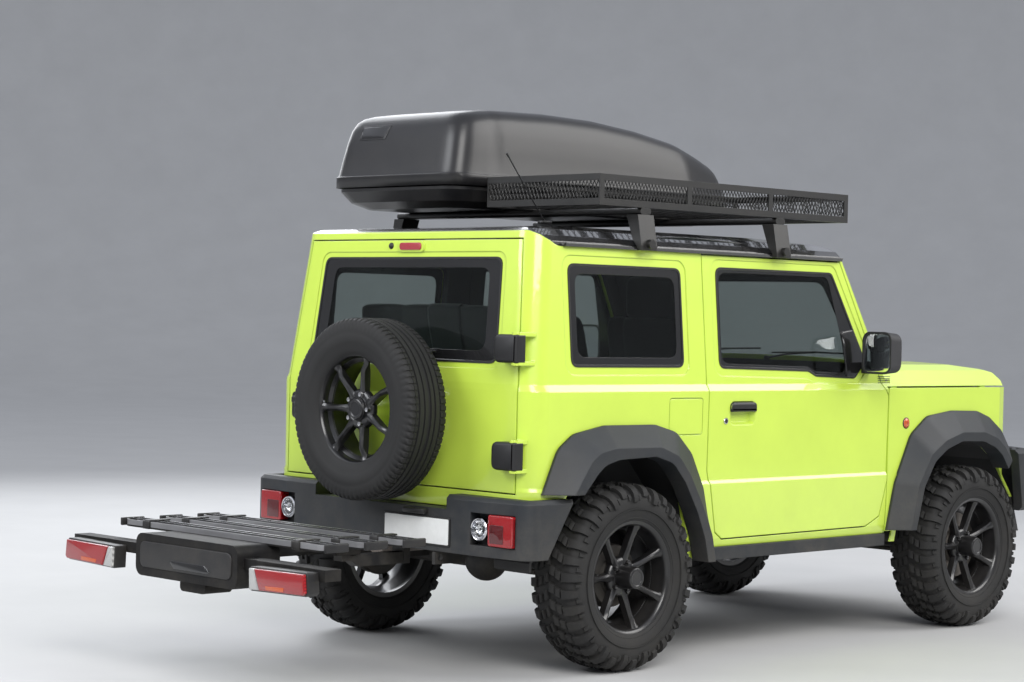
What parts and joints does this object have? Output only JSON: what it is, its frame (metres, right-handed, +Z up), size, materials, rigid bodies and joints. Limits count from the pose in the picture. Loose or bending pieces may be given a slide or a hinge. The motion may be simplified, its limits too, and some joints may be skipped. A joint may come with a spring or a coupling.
{
  "type": "lifted off-road 4x4 with roof basket, roof box and towball carrier",
  "caption": "Three-door off-road car on mud tyres, with opening doors, bonnet and tailgate, steering wheels, a roof basket, a roof box and a towball carrier platform.",
  "frame": {"origin": "on the ground under the middle of the car's length, on its centre plane", "axes": "+X forward, +Y to the car's left, +Z up"},
  "size_m": [4.4, 1.826, 2.18],
  "materials": {
    "body_paint": "gloss",
    "roof_black": "gloss",
    "glass": "gloss",
    "dark_plastic": "matte",
    "black_gloss_plastic": "gloss",
    "tyre": "matte",
    "rim_black": "satin",
    "red_lens": "gloss",
    "clear_lens": "gloss",
    "chassis_black": "satin",
    "spring_steel": "satin",
    "cast_iron": "matte",
    "exhaust_steel": "satin",
    "tank_plastic": "matte",
    "trim_plastic": "matte",
    "seat_fabric": "matte",
    "rack_black": "satin",
    "box_shell": "satin",
    "carrier_metal": "satin"
  },
  "bodies": {
    "root": {"body_shell": "body_paint", "roof_panel": "roof_black", "quarter_windows": "glass", "windscreen": "glass", "front_fenders": "body_paint", "grille": "black_gloss_plastic", "headlamps": "clear_lens", "front_bumper": "dark_plastic", "rear_bumper": "dark_plastic", "tail_lamps": "red_lens", "arch_flares": "dark_plastic", "sill_covers": "dark_plastic", "frame_rails": "chassis_black", "rear_axle": "chassis_black", "front_axle": "chassis_black", "coil_springs": "spring_steel", "dampers": "spring_steel", "suspension_links": "chassis_black", "engine": "cast_iron", "propshafts": "chassis_black", "fuel_tank": "tank_plastic", "exhaust": "exhaust_steel", "dashboard": "trim_plastic", "front_seats": "seat_fabric", "rear_seat": "seat_fabric", "roof_bars": "rack_black", "roof_basket": "rack_black", "basket_mesh": "rack_black", "roof_box_base": "box_shell", "carrier": "carrier_metal", "carrier_lamps": "red_lens"},
    "bonnet": {"bonnet": "body_paint"},
    "tailgate": {"tailgate": "body_paint", "tailgate_window": "glass", "spare_tyre": "tyre", "spare_rim": "rim_black"},
    "roof_box_lid": {"roof_box_lid": "box_shell"},
    "steering_wheel": {"steering_wheel": "trim_plastic"},
    "tie_rod": {"tie_rod": "chassis_black"},
    "door_left": {"door_left": "body_paint", "door_window_left": "glass", "mirror_left": "trim_plastic"},
    "knuckle_left": {"knuckle_left": "cast_iron"},
    "wheel_front_left": {"tyre_front_left": "tyre", "rim_front_left": "rim_black"},
    "wheel_rear_left": {"tyre_rear_left": "tyre", "rim_rear_left": "rim_black"},
    "door_right": {"door_right": "body_paint", "door_window_right": "glass", "mirror_right": "trim_plastic"},
    "knuckle_right": {"knuckle_right": "cast_iron"},
    "wheel_front_right": {"tyre_front_right": "tyre", "rim_front_right": "rim_black"},
    "wheel_rear_right": {"tyre_rear_right": "tyre", "rim_rear_right": "rim_black"}
  },
  "joints": [
    {"name": "spin_rear_left", "type": "hinge", "parent": "root", "child": "wheel_rear_left", "pos_m": [-0.67, 0.695, 0.358], "axis": [0, 1, 0], "continuous": true},
    {"name": "steer_left", "type": "hinge", "parent": "root", "child": "knuckle_left", "pos_m": [1.58, 0.6, 0.358], "axis": [0, 0, 1], "range_deg": [-32, 32]},
    {"name": "spin_front_left", "type": "hinge", "parent": "knuckle_left", "child": "wheel_front_left", "pos_m": [1.58, 0.695, 0.358], "axis": [0, 1, 0], "continuous": true},
    {"name": "door_left_swing", "type": "hinge", "parent": "root", "child": "door_left", "pos_m": [1.006, 0.742, 0.8], "axis": [0, 0, -1], "range_deg": [0, 65]},
    {"name": "spin_rear_right", "type": "hinge", "parent": "root", "child": "wheel_rear_right", "pos_m": [-0.67, -0.695, 0.358], "axis": [0, 1, 0], "continuous": true},
    {"name": "steer_right", "type": "hinge", "parent": "root", "child": "knuckle_right", "pos_m": [1.58, -0.6, 0.358], "axis": [0, 0, 1], "range_deg": [-32, 32]},
    {"name": "spin_front_right", "type": "hinge", "parent": "knuckle_right", "child": "wheel_front_right", "pos_m": [1.58, -0.695, 0.358], "axis": [0, 1, 0], "continuous": true},
    {"name": "door_right_swing", "type": "hinge", "parent": "root", "child": "door_right", "pos_m": [1.006, -0.742, 0.8], "axis": [0, 0, 1], "range_deg": [0, 65]},
    {"name": "tailgate_swing", "type": "hinge", "parent": "root", "child": "tailgate", "pos_m": [-1.2, -0.68, 1], "axis": [0, 0, 1], "range_deg": [0, 90]},
    {"name": "bonnet_lift", "type": "hinge", "parent": "root", "child": "bonnet", "pos_m": [1.04, 0, 1.165], "axis": [0, -1, 0], "range_deg": [0, 55]},
    {"name": "roof_box_lid_lift", "type": "hinge", "parent": "root", "child": "roof_box_lid", "pos_m": [-0.07, -0.053, 1.847], "axis": [1, 0, 0], "range_deg": [0, 45]},
    {"name": "steering_wheel_turn", "type": "hinge", "parent": "root", "child": "steering_wheel", "pos_m": [0.65, 0.33, 1.055], "axis": [-0.9098, 0, 0.4151], "range_deg": [-485, 485]},
    {"name": "tie_rod_pivot", "type": "hinge", "parent": "knuckle_left", "child": "tie_rod", "pos_m": [1.45, 0.6, 0.325], "axis": [0, 0, 1], "range_deg": [-33, 33]}
  ],
  "couplings": [
    {"joint": "steer_right", "follows": "steer_left", "ratio": 1},
    {"joint": "tie_rod_pivot", "follows": "steer_left", "ratio": -1},
    {"joint": "steering_wheel_turn", "follows": "steer_left", "ratio": 15}
  ]
}
